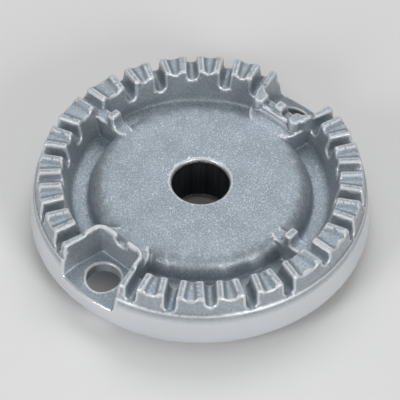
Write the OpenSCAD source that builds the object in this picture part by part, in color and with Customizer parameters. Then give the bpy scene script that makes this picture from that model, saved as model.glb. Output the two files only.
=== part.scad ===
// Burner head of a gas hob: one aluminium casting with a ring of flame ports.
// Z is up, the part stands on its seating skirt at z = 0 and its axis is the Z axis.
// The electrode niche faces -Y, the thermocouple niche +Y, the cap towers +X and -X.

/* [Height] */
// From the seating skirt to the tops of the teeth
head_h = 16.5; // [16:0.1:18]
// Tooth tops down to the flat deck round the throat
deck_drop = 3; // [2.6:0.1:3.4]
// Tooth tops down to the floor of the gas channel
channel_drop = 8.2; // [7.8:0.1:8.6]
// Tooth tops down to the line where the teeth meet the turned band
rim_drop = 4.5; // [4.4:0.1:5]
// Tooth tops down to the lower edge of the turned band
band_drop = 12.6; // [12:0.1:13]

/* [Tooth ring] */
// Outer radius of the tooth tops
ring_r = 36; // [35:0.5:37]
// Inner radius of the tooth tops
ring_inner_r = 30.8; // [30.4:0.1:31.2]
// Outer radius of the band at its lower edge
band_r = 38.2; // [37.8:0.1:38.6]
// Angle from one flame port to the next
port_pitch = 14; // [13.8:0.1:14.2]
// Width of a flame port
port_w = 2.3; // [2:0.1:2.5]
// Depth of a main flame port
port_depth = 4.4; // [3.8:0.1:4.4]
// Depth of a simmer port, and of the port behind a tower
simmer_depth = 2.4; // [2:0.1:2.8]
// Width of the flat land on each side of a tooth top
land_w = 1.5; // [1.3:0.1:1.7]
// Depth of the shallow groove between the two lands
groove_depth = 0.7; // [0.5:0.1:0.9]

/* [Deck and throat] */
// Radius of the gas throat
throat_r = 6.5; // [6:0.1:7]
// Radius where the flat of the deck ends and its shoulder starts
deck_r = 20.8; // [20:0.1:21.2]
// Radius of the foot of the shoulder, where the gas channel starts
channel_r = 24.9; // [24.6:0.1:25.2]

/* [Niches] */
// Half of the angle that a niche takes out of the ring
niche_half = 12.4; // [11.8:0.1:12.6]
// Thickness of the wall round a niche at its top
niche_wall = 1.1; // [1:0.1:1.4]
// Tooth tops down to the niche floor
niche_drop = 7.7; // [7.4:0.1:8]
// Radius of the electrode hole
electrode_r = 3.75; // [3.2:0.05:3.8]
// Radius of the thermocouple hole
thermocouple_r = 3.2; // [2.8:0.05:3.3]

/* [Hidden] */
$fn = 96;

cast_grey = [0.72, 0.74, 0.76];

// Levels
deck_z = head_h - deck_drop;
channel_z = head_h - channel_drop;
rim_z = head_h - rim_drop;
band_z = head_h - band_drop;
niche_z = head_h - niche_drop;
simmer_z = head_h - simmer_depth;
over = 1;

// Walls of the casting seen from below
floor_t = 3;
under_z = niche_z - floor_t;
deck_under_z = deck_z - floor_t;
skirt_r = 24.2;
skirt_inner_r = 21.9;
tube_r = 9;
tube_end_z = 0.8;
lip_inner_r = 36;

// Tooth ring
wall_foot_r = ring_inner_r - 1.5;
wall_foot_z = channel_z + 1.3;
ledge_w = 0.45;
tooth_foot_r = ring_r + 0.65;
band_top_r = tooth_foot_r + ledge_w;
first_port = 17;
ports_per_quarter = 5;
flank_w = 0.8;

// Niches and towers
electrode_in = 26.1;
thermocouple_in = 28.6;
electrode_at = 31.65;
thermocouple_at = 32.2;
niche_corner = 2.4;
ramp_at = 33;
electrode_ramp = 1.2;
thermocouple_ramp = 1.7;
side_draft = 0.7;
inner_draft = 0.4;
narrow_tooth = 2.6;
gap_z = head_h - 2.1;
lobe_in = 21.4;
tower_in = 25.1;
tower_w = 3.4;
tower_pad_l = 2;
tower_pad_w = 3.05;

// Points of an arc from angle a to angle b round a centre
function arc(centre, r, a, b, steps = 6) =
    [for (i = [0 : steps]) centre + r * [cos(a + (b - a) * i / steps), sin(a + (b - a) * i / steps)]];

// Angles of the ports in one quarter, counted from a tower or a niche
function port_angle(i) = first_port + i * port_pitch;

// Right half of the cross-section, from the throat outwards along the top and back underneath
module section() {
    throat_edge = 0.35;
    shoulder_r = channel_r - deck_r - 0.35;
    foot_r = 0.6;
    wall_fillet = 1.5;
    edge = 0.3;
    polygon(concat(
        [[throat_r, deck_under_z], [throat_r, deck_z - throat_edge]],
        [[throat_r + throat_edge, deck_z]],
        arc([deck_r, deck_z - shoulder_r], shoulder_r, 90, 8, 8),
        [[channel_r - 0.15, channel_z + foot_r]],
        [[channel_r + foot_r * 0.4, channel_z + 0.12], [channel_r + foot_r + 0.3, channel_z]],
        [[wall_foot_r - wall_fillet, channel_z + 0.15]],
        arc([wall_foot_r - wall_fillet, channel_z + 0.15 + wall_fillet], wall_fillet, -75, -12, 4),
        [[ring_inner_r, head_h], [ring_r - edge / 2, head_h], [ring_r, head_h - edge]],
        [[tooth_foot_r, rim_z], [band_top_r - 0.1, rim_z], [band_top_r, rim_z - 0.15]],
        [[band_r, band_z + edge], [band_r - edge, band_z]],
        [[lip_inner_r + edge, band_z], [lip_inner_r, band_z + edge], [lip_inner_r - 0.3, under_z]],
        [[skirt_r + 0.9, under_z], [skirt_r + 0.3, under_z - 0.3], [skirt_r, under_z - 0.9]],
        [[skirt_r - 0.1, edge], [skirt_r - edge - 0.1, 0], [skirt_inner_r + edge, 0], [skirt_inner_r, edge]],
        [[skirt_inner_r - 0.3, deck_under_z - 3.2]],
        arc([skirt_inner_r - 3.5, deck_under_z - 3.2], 3.2, 5, 90, 6),
        [[throat_r, deck_under_z]]
    ));
}

// Gas tube under the deck, with the fillet that joins it to the deck
module tube() {
    fillet = 1.2;
    top_r = tube_r + 0.4;
    rotate_extrude()
        polygon(concat(
            [[throat_r, tube_end_z + 0.4], [throat_r + 0.4, tube_end_z], [tube_r - 0.3, tube_end_z]],
            [[tube_r, tube_end_z + 0.3], [top_r, deck_under_z - fillet]],
            arc([top_r + fillet, deck_under_z - fillet], fillet, 180, 90, 4),
            [[top_r + fillet, deck_under_z + over], [throat_r, deck_under_z + over]]
        ));
}

// Radial cutter: a profile of width and height pushed outwards along +X
module radial(from, to) {
    translate([from, 0, 0])
        rotate([90, 0, 90])
            linear_extrude(to - from)
                children();
}

// Flame port: round bottom and walls that open a little towards the top
module port(depth) {
    draft = 0.12;
    bottom = head_h - depth;
    radial(wall_foot_r - 0.9, band_r + over) {
        translate([0, bottom + port_w / 2])
            circle(d = port_w);
        polygon([
            [-port_w / 2, bottom + port_w / 2], [port_w / 2, bottom + port_w / 2],
            [port_w / 2 + draft, head_h + over], [-port_w / 2 - draft, head_h + over]
        ]);
    }
}

// One side of a tooth groove: keeps a land beside the port and slopes down to the groove's floor
module groove_side() {
    reach = 12;
    start = port_w / 2 + land_w;
    radial(ring_inner_r - 2.5, band_r + over)
        polygon([
            [start - flank_w * over / groove_depth, head_h + over],
            [start + flank_w, head_h - groove_depth],
            [start + reach, head_h - groove_depth],
            [start + reach, head_h + over]
        ]);
}

// Groove in the top of the tooth between the ports at angles a and b
module groove(a, b) {
    intersection() {
        rotate(a) groove_side();
        rotate(b) mirror([0, 1, 0]) groove_side();
    }
}

// Plan of a niche: a sector with a straight inner side and two round corners
module niche_plan(inner, half, corner, outer) {
    cx = inner + corner;
    cy = cx * tan(half) - corner / cos(half);
    tx = cx - corner * sin(half);
    ty = cy + corner * cos(half);
    for (side = [1, -1])
        translate([cx, side * cy])
            circle(r = corner);
    polygon([
        [inner, -cy], [tx, -ty], [outer, -outer * tan(half)],
        [outer, outer * tan(half)], [tx, ty], [inner, cy]
    ]);
}

// Hollow fillet of the given length where a face at x = 0 stands on the deck
module foot_fillet(length) {
    fillet = 1.6;
    translate([0, length / 2, 0])
        rotate([90, 0, 0])
            linear_extrude(length)
                difference() {
                    translate([-fillet, deck_z - over])
                        square([fillet + over, fillet + over]);
                    translate([-fillet, deck_z + fillet])
                        circle(r = fillet);
                }
}

// Wall that stands round a niche and closes the gas channel, and the lobe of the deck in front of it
module niche_block(inner, top_z) {
    half = niche_half + narrow_tooth;
    corner = niche_corner + niche_wall;
    outer = wall_foot_r + 2;
    foot_l = 2 * ((inner + corner) * tan(half) - corner / cos(half));
    translate([0, 0, under_z])
        linear_extrude(top_z - under_z)
            niche_plan(inner, half, corner, outer);
    translate([0, 0, under_z])
        linear_extrude(deck_z - under_z)
            niche_plan(lobe_in, half, corner + 1, outer);
    translate([inner, 0, 0])
        foot_fillet(foot_l);
}

// Sloped faces that narrow a niche towards its floor
module niche_draft(inner, outer) {
    rise = head_h - niche_z;
    above = (rise + over) / rise;
    below = (niche_z - under_z + over) / rise;
    for (side = [0, 1])
        mirror([0, side, 0])
            rotate(niche_half)
                radial(0, outer + over)
                    polygon([
                        [-side_draft * (1 + below), under_z - over], [side_draft * (above - 1), head_h + over],
                        [3, head_h + over], [3, under_z - over]
                    ]);
    translate([0, outer, 0])
        rotate([90, 0, 0])
            linear_extrude(2 * outer)
                polygon([
                    [inner + inner_draft * (1 + below), under_z - over],
                    [inner - inner_draft * (above - 1), head_h + over], [0, head_h + over], [0, under_z - over]
                ]);
}

// Space cut out for a niche, with a floor that falls away towards the rim
module niche_space(inner, ramp_fall) {
    outer = band_r + 4;
    slope = ramp_fall / (band_r - 0.6 - ramp_at);
    difference() {
        translate([0, 0, under_z])
            linear_extrude(head_h + over - under_z)
                niche_plan(inner - 0.12, niche_half + 0.3, niche_corner, outer);
        translate([0, outer, 0])
            rotate([90, 0, 0])
                linear_extrude(2 * outer)
                    polygon([
                        [0, under_z - over], [0, niche_z], [ramp_at, niche_z],
                        [outer + over, niche_z - slope * (outer + over - ramp_at)], [outer + over, under_z - over]
                    ]);
        niche_draft(inner, outer);
    }
}

// Lowers the narrow teeth beside a niche to the level of the tooth grooves
module narrow_tooth_cut() {
    half = niche_half + narrow_tooth + 1.5;
    step_r = 30.2;
    rotate(-half)
        rotate_extrude(angle = 2 * half)
            polygon([
                [step_r - flank_w * over / groove_depth, head_h + over],
                [step_r + flank_w, head_h - groove_depth],
                [band_r + over, head_h - groove_depth], [band_r + over, head_h + over]
            ]);
}

// Tower that seats the cap: a block across the gas channel with a raised pad at its inner end
module tower() {
    translate([tower_in, -tower_w / 2, under_z])
        cube([wall_foot_r + 1 - tower_in, tower_w, simmer_z - under_z]);
    translate([tower_in, -tower_pad_w / 2, under_z])
        cube([tower_pad_l, tower_pad_w, head_h - under_z]);
    translate([lobe_in + tower_w / 2, -tower_w / 2, under_z])
        cube([tower_in - lobe_in, tower_w, deck_z - under_z]);
    translate([lobe_in + tower_w / 2, 0, under_z])
        cylinder(d = tower_w, h = deck_z - under_z);
    translate([tower_in, 0, 0])
        foot_fillet(tower_pad_w);
}

// Electrode niche: one gas slot through its inner wall lights the flame
module electrode_slot() {
    slot_w = 2.7;
    slot_depth = 2.3;
    corner = 0.8;
    radial(electrode_in - niche_wall - 1, electrode_in + over) {
        for (side = [1, -1])
            translate([side * (slot_w / 2 - corner), head_h - slot_depth + corner])
                circle(r = corner);
        translate([-slot_w / 2, head_h - slot_depth + corner])
            square([slot_w, slot_depth]);
        translate([-slot_w / 2 + corner, head_h - slot_depth])
            square([slot_w - 2 * corner, slot_depth]);
    }
}

// Thermocouple niche: three pads stand on its inner wall, the two outer ones run into the narrow teeth
module thermocouple_block() {
    inner = 25.3;
    pad_in = 26.1;
    pad_w = 2.4;
    knob_in = 24.6;
    knob_w = 2.75;
    knob_l = 3.8;
    knob_at = 5.1;
    tooth_in = 26.5;
    niche_block(inner, gap_z);
    translate([pad_in, -pad_w / 2, under_z])
        cube([thermocouple_in + inner_draft - pad_in, pad_w, head_h - under_z]);
    translate([0, 0, under_z])
        linear_extrude(head_h - under_z)
            for (side = [1, -1]) {
                for (end = [knob_w / 2, knob_l - knob_w / 2])
                    translate([knob_in + end, side * knob_at])
                        circle(d = knob_w);
                translate([knob_in + knob_w / 2, side * knob_at - knob_w / 2])
                    square([knob_l - knob_w, knob_w]);
                intersection() {
                    niche_plan(inner, niche_half + narrow_tooth, niche_corner + niche_wall, wall_foot_r + 2);
                    translate([tooth_in, side * (knob_at + 3.5) - 3])
                        square([wall_foot_r + 2 - tooth_in, 6]);
                }
            }
}

// Groove cored out under the teeth, between the two niches
module core() {
    half = 90 - niche_half - 7;
    inner = wall_foot_r + 2.1;
    outer = inner + 3;
    top_z = head_h - port_depth - 2.5;
    mid = (inner + outer) / 2;
    for (side = [0, 180])
        rotate(side) {
            rotate(-half)
                rotate_extrude(angle = 2 * half)
                    polygon([
                        [inner - 0.15, under_z - over], [outer + 0.15, under_z - over],
                        [outer - 0.2, top_z - 0.6], [outer - 0.8, top_z],
                        [inner + 0.8, top_z], [inner + 0.2, top_z - 0.6]
                    ]);
            for (end = [-half, half])
                rotate(end)
                    translate([mid, 0, under_z - over])
                        cylinder(r = (outer - inner) / 2, h = top_z - 0.6 - under_z + over);
        }
}

module burner_head() {
    color(cast_grey)
        difference() {
            union() {
                rotate_extrude() section();
                tube();
                for (side = [0, 180])
                    rotate(side) tower();
                difference() {
                    rotate(-90) niche_block(electrode_in - niche_wall, head_h);
                    rotate(-90) electrode_slot();
                }
                rotate(90) thermocouple_block();
            }
            for (quarter = [0 : 90 : 270], i = [0 : ports_per_quarter - 1])
                rotate(quarter + port_angle(i))
                    port(i == (ports_per_quarter - 1) / 2 ? simmer_depth : port_depth);
            for (side = [0, 180])
                rotate(side) port(simmer_depth);
            for (quarter = [0 : 90 : 270], i = [0 : ports_per_quarter - 2])
                groove(quarter + port_angle(i), quarter + port_angle(i + 1));
            for (side = [0, 180]) {
                groove(side, side + first_port);
                groove(side - first_port, side);
            }
            rotate(-90) niche_space(electrode_in, electrode_ramp);
            rotate(90) niche_space(thermocouple_in, thermocouple_ramp);
            for (side = [-90, 90])
                rotate(side) narrow_tooth_cut();
            translate([0, -electrode_at, under_z - over])
                cylinder(r = electrode_r, h = head_h);
            translate([0, thermocouple_at, under_z - over])
                cylinder(r = thermocouple_r, h = head_h);
            core();
        }
}

burner_head();
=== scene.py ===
import math

import bpy
import numpy as np
import openvdb as vdb
from mathutils import Matrix, Vector


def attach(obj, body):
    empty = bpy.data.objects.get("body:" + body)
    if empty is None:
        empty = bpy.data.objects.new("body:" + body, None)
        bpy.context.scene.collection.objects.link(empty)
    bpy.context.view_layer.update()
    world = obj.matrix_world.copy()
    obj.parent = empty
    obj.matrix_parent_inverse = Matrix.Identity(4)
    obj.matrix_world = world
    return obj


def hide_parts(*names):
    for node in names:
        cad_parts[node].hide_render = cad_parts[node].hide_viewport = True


MM = 0.001

# The casting's rounded skin: grid step, blur of the edges in grid steps, and how freely flat parts merge
GRID_STEP = 0.2 * MM
EDGE_BLUR = 1.05
BAND_CELLS = 6
FLAT_MERGE = 0.1

# Regions of the casting, in metres, as the part's source has them
THROAT_R = 6.9 * MM
BAND_IN_R = 37.35 * MM
BAND_LOW_Z = 3.6 * MM
BAND_HIGH_Z = 11.9 * MM

# Camera, fitted to the photo: 400 pixels across, focal length and offsets in pixels
PHOTO_PX = 400
FOCAL_PX = 2443.9
AIM_PX = (0.84, 28.03)
SENSOR_MM = 36.0
CAMERA_TURN = math.radians(40.6)
CAMERA_TILT = math.radians(48.48)
CAMERA_ROLL = math.radians(1.196)
CAMERA_FAR = 0.54
LOOK_AT = Vector((0, 0, 0.0165))

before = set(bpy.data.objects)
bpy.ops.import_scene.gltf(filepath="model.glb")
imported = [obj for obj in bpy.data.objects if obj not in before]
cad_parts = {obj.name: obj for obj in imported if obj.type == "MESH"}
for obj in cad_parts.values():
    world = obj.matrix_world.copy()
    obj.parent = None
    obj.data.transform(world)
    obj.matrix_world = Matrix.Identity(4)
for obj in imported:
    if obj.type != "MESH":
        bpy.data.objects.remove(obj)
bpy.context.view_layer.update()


# Mesh

def mesh_arrays(mesh):
    """Vertices and triangles of a mesh as arrays."""
    mesh.calc_loop_triangles()
    points = np.empty(len(mesh.vertices) * 3, np.float32)
    mesh.vertices.foreach_get("co", points)
    corners = np.empty(len(mesh.loop_triangles) * 3, np.int32)
    mesh.loop_triangles.foreach_get("vertices", corners)
    return points.reshape(-1, 3), corners.reshape(-1, 3).astype(np.uint32)


def blurred(field, sigma):
    """The field after a Gaussian blur along each axis."""
    reach = int(math.ceil(3 * sigma))
    steps = np.arange(-reach, reach + 1)
    weights = np.exp(-0.5 * (steps / sigma) ** 2)
    weights /= weights.sum()
    for axis in range(3):
        total = np.zeros_like(field)
        for step, weight in zip(steps, weights):
            total += np.roll(field, step, axis) * np.float32(weight)
        field = total
    return field


def sampled(field, points, low):
    """The field's value at each point, linear between grid points."""
    place = points / GRID_STEP - low
    cell = np.clip(np.floor(place).astype(int), 0, np.array(field.shape) - 2)
    part = place - cell
    total = np.zeros(len(points))
    for dx in (0, 1):
        for dy in (0, 1):
            for dz in (0, 1):
                weight = np.abs(1 - dx - part[:, 0]) * np.abs(1 - dy - part[:, 1]) * np.abs(1 - dz - part[:, 2])
                total += weight * field[cell[:, 0] + dx, cell[:, 1] + dy, cell[:, 2] + dz]
    return total


def cast_skin(node, name):
    """The node's solid with every edge and corner rounded, as a casting's are, and how convex each point was."""
    points, triangles = mesh_arrays(node.data)
    grid = vdb.FloatGrid.createLevelSetFromPolygons(
        points, triangles=triangles, transform=vdb.createLinearTransform(GRID_STEP), halfWidth=BAND_CELLS)
    margin = BAND_CELLS + 3
    low = np.floor(points.min(0) / GRID_STEP).astype(int) - margin
    high = np.ceil(points.max(0) / GRID_STEP).astype(int) + margin
    sharp = np.zeros(tuple(high - low), np.float32)
    grid.copyToArray(sharp, ijk=tuple(int(v) for v in low))
    soft = blurred(sharp, EDGE_BLUR)
    skin = vdb.FloatGrid(BAND_CELLS * GRID_STEP)
    skin.transform = vdb.createLinearTransform(GRID_STEP)
    skin.gridClass = vdb.GridClass.LEVEL_SET
    skin.copyFromArray(soft, ijk=tuple(int(v) for v in low))
    verts, tris, quads = skin.convertToPolygons(isovalue=0.0, adaptivity=FLAT_MERGE)
    edge = sampled(soft - sharp, verts, low) / GRID_STEP
    mesh = bpy.data.meshes.new(name)
    faces = [tuple(f[::-1]) for f in tris.tolist()] + [tuple(f[::-1]) for f in quads.tolist()]
    mesh.from_pydata(verts.tolist(), [], faces)
    mesh.validate()
    mesh.attributes.new("edge", "FLOAT", "POINT").data.foreach_set("value", edge.astype(np.float32))
    mesh.polygons.foreach_set("use_smooth", [True] * len(mesh.polygons))
    mesh.update()
    return mesh


# Material nodes

class Graph:
    """Short calls for the nodes of one material or world."""

    def __init__(self, tree):
        self.nodes = tree.nodes
        self.links = tree.links

    def add(self, kind, inputs=None, **settings):
        node = self.nodes.new(kind)
        for key, value in settings.items():
            setattr(node, key, value)
        for key, value in (inputs or {}).items():
            self.put(node.inputs[key], value)
        return node

    def put(self, socket, value):
        if isinstance(value, bpy.types.NodeSocket):
            self.links.new(value, socket)
        else:
            socket.default_value = value

    def math(self, operation, a, b=0.0):
        return self.add("ShaderNodeMath", {0: a, 1: b}, operation=operation).outputs[0]

    def ramp(self, value, start, end, low=0.0, high=1.0):
        """low up to start, then smoothly to high at end."""
        inputs = {"Value": value, "From Min": start, "From Max": end, "To Min": low, "To Max": high}
        return self.add("ShaderNodeMapRange", inputs, interpolation_type="SMOOTHSTEP").outputs[0]

    def between(self, factor, a, b):
        """a where factor is 0, b where it is 1."""
        return self.add("ShaderNodeMix", {0: factor, 2: a, 3: b}).outputs[0]

    def blend(self, factor, a, b, how="MIX"):
        node = self.add("ShaderNodeMix", data_type="RGBA", blend_type=how)
        self.put(node.inputs[0], factor)
        self.put(node.inputs[6], a)
        self.put(node.inputs[7], b)
        return node.outputs[2]

    def noise(self, vector, size, detail=2.0, rough=0.5):
        """Noise with features about size metres across."""
        inputs = {"Vector": vector, "Scale": 1 / size, "Detail": detail, "Roughness": rough}
        return self.add("ShaderNodeTexNoise", inputs).outputs[0]


def cast_aluminium():
    """Shot-blasted cast aluminium: grainy on flat tops, smoother and darker on steep walls, turned on the band; its
    colour also holds painted highlights on convex edges and specks, painted shade in creases and the throat, and a
    tone set by facing direction.
    """
    material = bpy.data.materials.new("cast_aluminium")
    material.use_nodes = True
    g = Graph(material.node_tree)
    shader = g.nodes["Principled BSDF"]
    coords = g.add("ShaderNodeTexCoord")
    place = coords.outputs["Object"]
    xyz = g.add("ShaderNodeSeparateXYZ", {0: place})
    x, y, z = xyz.outputs
    up = g.add("ShaderNodeSeparateXYZ", {0: coords.outputs["Normal"]}).outputs[2]
    radius = g.math("SQRT", g.math("ADD", g.math("MULTIPLY", x, x), g.math("MULTIPLY", y, y)))
    edge = g.add("ShaderNodeAttribute", attribute_name="edge").outputs["Fac"]

    flat = g.ramp(up, 0.55, 0.92)
    in_band = g.math("MULTIPLY", g.ramp(radius, BAND_IN_R - 0.2 * MM, BAND_IN_R + 0.1 * MM),
                     g.math("MULTIPLY", g.ramp(z, BAND_LOW_Z, BAND_LOW_Z + 0.3 * MM),
                            g.ramp(z, BAND_HIGH_Z + 0.3 * MM, BAND_HIGH_Z, 0.0, 1.0)))
    in_throat = g.ramp(radius, THROAT_R, THROAT_R - 0.5 * MM)
    edge_highlight_mask = g.ramp(edge, 0.02, 0.11)
    crease_shade_mask = g.ramp(edge, -0.03, -0.16)

    grain = g.noise(place, 0.30 * MM, 3.0, 0.62)
    cloud = g.noise(place, 5.0 * MM, 3.0, 0.5)
    specks = g.add("ShaderNodeTexVoronoi", {"Vector": place, "Scale": 1 / (0.22 * MM)})
    spark = g.ramp(g.add("ShaderNodeSeparateColor", {0: specks.outputs["Color"]}).outputs[0], 0.80, 0.97)

    wall_grey = (0.400, 0.440, 0.475, 1)
    top_grey_painted_shade = (0.350, 0.405, 0.455, 1)
    highlight_grey = (0.80, 0.82, 0.84, 1)
    crease_shade_grey = (0.20, 0.21, 0.22, 1)
    band_grey = (0.70, 0.73, 0.76, 1)
    throat_shade_grey = (0.022, 0.026, 0.030, 1)
    # Colour set by facing direction: upward-facing tops get a darker grey than steep walls, painted light and shade
    # matched to how light falls on them.
    colour = g.blend(flat, wall_grey, top_grey_painted_shade)
    tone = g.ramp(grain, 0.28, 0.72, 0.74, 1.26)
    tone = g.math("MULTIPLY", tone, g.ramp(cloud, 0.3, 0.7, 0.93, 1.07))
    tone = g.between(in_band, tone, 1.0)
    colour = g.blend(1.0, colour, g.add("ShaderNodeCombineColor", {0: tone, 1: tone, 2: tone}).outputs[0], "MULTIPLY")
    # Bright specks, stronger on flat tops: partly the blasted grain's own random tone, partly painted glints.
    colour = g.blend(g.math("MULTIPLY", spark, g.between(flat, 0.10, 0.22)), colour, highlight_grey)
    # Painted shade: concave creases and fillets darkened in the colour.
    colour = g.blend(g.math("MULTIPLY", crease_shade_mask, 0.15), colour, crease_shade_grey)
    colour = g.blend(in_band, colour, band_grey)
    # Painted highlight: convex rounded edges lightened in the colour.
    colour = g.blend(g.math("MULTIPLY", edge_highlight_mask, 0.75), colour, highlight_grey)
    # Painted shade: the throat's inside painted near-black, except where the painted edge highlight is.
    colour = g.blend(g.math("MULTIPLY", in_throat, g.math("SUBTRACT", 1.0, edge_highlight_mask)), colour, throat_shade_grey)

    rough = g.between(flat, 0.47, 0.56)
    rough = g.between(in_band, rough, 0.27)
    rough = g.math("SUBTRACT", rough, g.math("MULTIPLY", spark, 0.16))
    height = g.math("ADD", grain, g.math("MULTIPLY", g.noise(place, 0.16 * MM, 2.0, 0.6), 0.45))
    turning = g.noise(g.add("ShaderNodeCombineXYZ", {2: g.math("MULTIPLY", z, 1.0)}).outputs[0], 0.16 * MM, 1.0)
    pits = g.ramp(g.noise(place, 0.45 * MM, 2.0, 0.5), 0.74, 0.80, 0.0, -0.6)
    height = g.between(in_band, height, g.math("ADD", g.math("MULTIPLY", turning, 0.10), pits))
    strength = g.between(flat, 0.22, 0.5)
    bump = g.add("ShaderNodeBump", {"Strength": g.between(in_band, strength, 0.12), "Distance": 0.12 * MM,
                                    "Height": height})
    g.put(shader.inputs["Base Color"], colour)
    g.put(shader.inputs["Roughness"], rough)
    g.put(shader.inputs["Normal"], bump.outputs[0])
    shader.inputs["Metallic"].default_value = 0.78
    return material


# Studio

def floor_material():
    material = bpy.data.materials.new("pale_floor")
    material.use_nodes = True
    g = Graph(material.node_tree)
    shader = g.nodes["Principled BSDF"]
    place = g.add("ShaderNodeTexCoord").outputs["Object"]
    shade = g.ramp(g.noise(place, 0.15, 2.0), 0.3, 0.7, 0.79, 0.81)
    g.put(shader.inputs["Base Color"], g.add("ShaderNodeCombineColor", {0: shade, 1: shade, 2: shade}).outputs[0])
    shader.inputs["Roughness"].default_value = 0.9
    return material


def make_floor():
    half = 3.0
    mesh = bpy.data.meshes.new("floor")
    z = -0.02 * MM
    mesh.from_pydata([(-half, -half, z), (half, -half, z), (half, half, z), (-half, half, z)], [], [(0, 1, 2, 3)])
    floor = bpy.data.objects.new("floor", mesh)
    bpy.context.collection.objects.link(floor)
    mesh.materials.append(floor_material())


def make_world():
    """Even soft light, dimmer towards the horizon, with a pale background for the camera."""
    world = bpy.data.worlds.new("studio")
    world.use_nodes = True
    bpy.context.scene.world = world
    g = Graph(world.node_tree)
    out = g.nodes["World Output"]
    direction = g.add("ShaderNodeTexCoord").outputs["Generated"]
    rise = g.add("ShaderNodeSeparateXYZ", {0: direction}).outputs[2]
    light = g.ramp(rise, 0.0, 0.9, 0.10, 0.42)
    seen = g.add("ShaderNodeLightPath").outputs["Is Camera Ray"]
    g.nodes["Background"].inputs["Color"].default_value = (1, 1, 1, 1)
    g.put(g.nodes["Background"].inputs["Strength"], g.between(seen, light, 0.85))
    g.links.new(g.nodes["Background"].outputs[0], out.inputs[0])


def soft_lamp(name, turn, rise, far, size, power):
    """A square soft lamp. turn is its azimuth from the camera's, clockwise from above, in degrees."""
    lamp = bpy.data.lights.new(name, "AREA")
    lamp.shape = "RECTANGLE"
    lamp.size, lamp.size_y = size
    lamp.energy = power
    thing = bpy.data.objects.new(name, lamp)
    bpy.context.collection.objects.link(thing)
    a = CAMERA_TURN + math.radians(turn)
    e = math.radians(rise)
    back = Vector((math.sin(a) * math.cos(e), -math.cos(a) * math.cos(e), math.sin(e)))
    thing.location = LOOK_AT + back * far
    thing.rotation_euler = back.to_track_quat("Z", "Y").to_euler()


def make_camera():
    """The photo's camera: aimed a little below the casting's middle, with a slight roll."""
    data = bpy.data.cameras.new("camera")
    data.sensor_width = SENSOR_MM
    data.lens = FOCAL_PX * SENSOR_MM / PHOTO_PX
    data.clip_start = 0.01
    camera = bpy.data.objects.new("camera", data)
    bpy.context.collection.objects.link(camera)
    back = Vector((math.sin(CAMERA_TURN) * math.cos(CAMERA_TILT),
                   -math.cos(CAMERA_TURN) * math.cos(CAMERA_TILT), math.sin(CAMERA_TILT)))
    turn = back.to_track_quat("Z", "Y").to_matrix().to_4x4()
    turn = turn @ Matrix.Rotation(CAMERA_ROLL, 4, "Z")
    turn = turn @ Matrix.Rotation(-math.atan(AIM_PX[1] / FOCAL_PX), 4, "X")
    turn = turn @ Matrix.Rotation(math.atan(AIM_PX[0] / FOCAL_PX), 4, "Y")
    camera.matrix_world = Matrix.Translation(LOOK_AT + back * CAMERA_FAR) @ turn
    bpy.context.scene.camera = camera


def main():
    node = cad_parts["burner_head"]
    material = cast_aluminium()
    head = bpy.data.objects.new("burner_head_casting", cast_skin(node, "burner_head_casting"))
    bpy.context.collection.objects.link(head)
    head.data.materials.append(material)
    node.data.materials.clear()
    node.data.materials.append(material)
    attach(head, "root")
    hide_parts("burner_head")
    make_floor()
    make_world()
    soft_lamp("lamp_left", -48, 26, 0.9, (0.30, 0.35), 2.8)
    soft_lamp("lamp_right", 36, 24, 0.9, (0.30, 0.35), 3.2)
    soft_lamp("lamp_back", 175, 55, 0.9, (0.7, 0.4), 2.4)
    make_camera()
    scene = bpy.context.scene
    scene.view_settings.view_transform = "Standard"


main()
